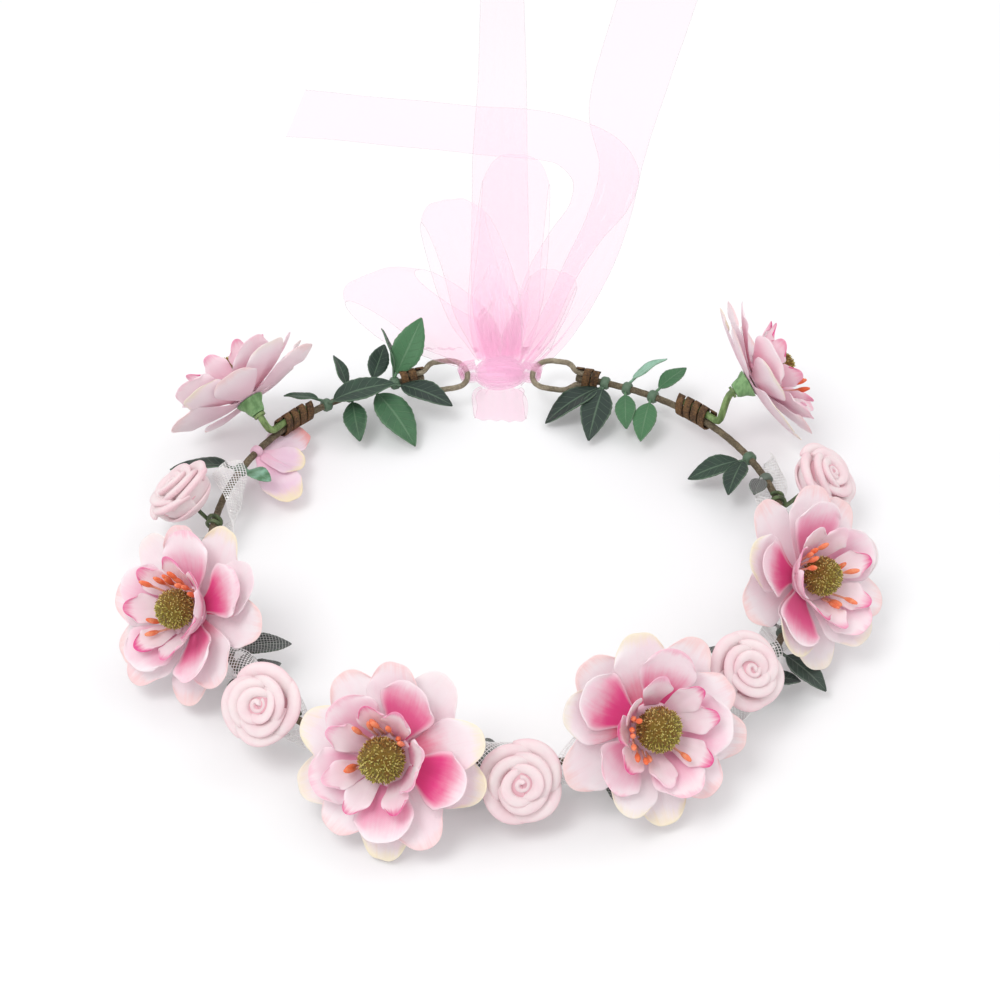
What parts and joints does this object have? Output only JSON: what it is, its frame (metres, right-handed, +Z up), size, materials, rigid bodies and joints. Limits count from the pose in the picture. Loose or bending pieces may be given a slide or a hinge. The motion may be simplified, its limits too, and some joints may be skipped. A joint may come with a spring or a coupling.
{
  "type": "flower crown",
  "caption": "Wire headband crown of layered silk flowers, foam roses, leaf sprays and wound tulle, open at the back between tie loops joined by an organza ribbon bow.",
  "frame": {"origin": "centre of the wire ring at wire height", "axes": "+Z up through the head opening, -Y to the front of the crown, +Y to the ribbon tie at the back"},
  "size_m": [0.2421, 0.5518, 0.0559],
  "materials": {
    "wire_tape": "crepe paper tape, matt",
    "loop_wire": "taped wire, matt",
    "binding_tape": "brown crepe tape, matt",
    "stem_green": "moulded green plastic, matt",
    "calyx_green": "moulded green plastic, matt",
    "outer_petal": "thin silk, white to pale pink",
    "middle_petal": "thin silk, deep pink throat",
    "inner_petal": "thin silk, pink",
    "stamen_orange": "dyed thread, matt",
    "button_olive": "fuzzy flock",
    "rose_foam": "soft foam, matt",
    "leaf_green": "coated cloth leaf, matt",
    "tulle_white": "dotted net",
    "ribbon_pink": "sheer organza"
  },
  "bodies": {
    "crown": {"band_wire": "wire_tape", "left_tie_loop": "loop_wire", "right_tie_loop": "loop_wire", "tape_bindings": "binding_tape", "flower_stem_1": "stem_green", "flower_stem_2": "stem_green", "flower_stem_3": "stem_green", "flower_stem_4": "stem_green", "flower_stem_5": "stem_green", "flower_stem_6": "stem_green", "rose_1": "rose_foam", "rose_2": "rose_foam", "rose_3": "rose_foam", "rose_4": "rose_foam", "rose_5": "rose_foam", "rose_stems": "stem_green", "leaf_spray_left": "leaf_green", "leaf_spray_right": "leaf_green", "leaf_spray_front": "leaf_green", "tucked_petals": "outer_petal", "tulle_wrap": "tulle_white", "ribbon_knot": "ribbon_pink", "ribbon_bow": "ribbon_pink", "ribbon_tails": "ribbon_pink"},
    "flower_head_1": {"flower_1_calyx": "calyx_green", "flower_1_outer_petals": "outer_petal", "flower_1_middle_petals": "middle_petal", "flower_1_inner_petals": "inner_petal", "flower_1_stamens": "stamen_orange", "flower_1_button": "button_olive"},
    "flower_head_2": {"flower_2_calyx": "calyx_green", "flower_2_outer_petals": "outer_petal", "flower_2_middle_petals": "middle_petal", "flower_2_inner_petals": "inner_petal", "flower_2_stamens": "stamen_orange", "flower_2_button": "button_olive"},
    "flower_head_3": {"flower_3_calyx": "calyx_green", "flower_3_outer_petals": "outer_petal", "flower_3_middle_petals": "middle_petal", "flower_3_inner_petals": "inner_petal", "flower_3_stamens": "stamen_orange", "flower_3_button": "button_olive"},
    "flower_head_4": {"flower_4_calyx": "calyx_green", "flower_4_outer_petals": "outer_petal", "flower_4_middle_petals": "middle_petal", "flower_4_inner_petals": "inner_petal", "flower_4_stamens": "stamen_orange", "flower_4_button": "button_olive"},
    "flower_head_5": {"flower_5_calyx": "calyx_green", "flower_5_outer_petals": "outer_petal", "flower_5_middle_petals": "middle_petal", "flower_5_inner_petals": "inner_petal", "flower_5_stamens": "stamen_orange", "flower_5_button": "button_olive"},
    "flower_head_6": {"flower_6_calyx": "calyx_green", "flower_6_outer_petals": "outer_petal", "flower_6_middle_petals": "middle_petal", "flower_6_inner_petals": "inner_petal", "flower_6_stamens": "stamen_orange", "flower_6_button": "button_olive"}
  },
  "joints": [
    {"name": "flower_1_turn", "type": "hinge", "parent": "crown", "child": "flower_head_1", "pos_m": [-0.0841, 0.05819, 0.01191], "axis": [-0.5675, 0.6302, 0.5299], "continuous": true},
    {"name": "flower_2_turn", "type": "hinge", "parent": "crown", "child": "flower_head_2", "pos_m": [-0.09177, -0.03789, 0.00849], "axis": [-0.5346, -0.5162, 0.6691], "continuous": true},
    {"name": "flower_3_turn", "type": "hinge", "parent": "crown", "child": "flower_head_3", "pos_m": [-0.03025, -0.09558, 0.00745], "axis": [-0.2501, -0.6872, 0.682], "continuous": true},
    {"name": "flower_4_turn", "type": "hinge", "parent": "crown", "child": "flower_head_4", "pos_m": [0.04162, -0.08569, 0.00949], "axis": [0.3023, -0.6789, 0.6691], "continuous": true},
    {"name": "flower_5_turn", "type": "hinge", "parent": "crown", "child": "flower_head_5", "pos_m": [0.09154, -0.02686, 0.01207], "axis": [0.5602, -0.5224, 0.6428], "continuous": true},
    {"name": "flower_6_turn", "type": "hinge", "parent": "crown", "child": "flower_head_6", "pos_m": [0.08298, 0.06623, 0.01428], "axis": [0.8736, 0.2671, 0.4067], "continuous": true}
  ]
}
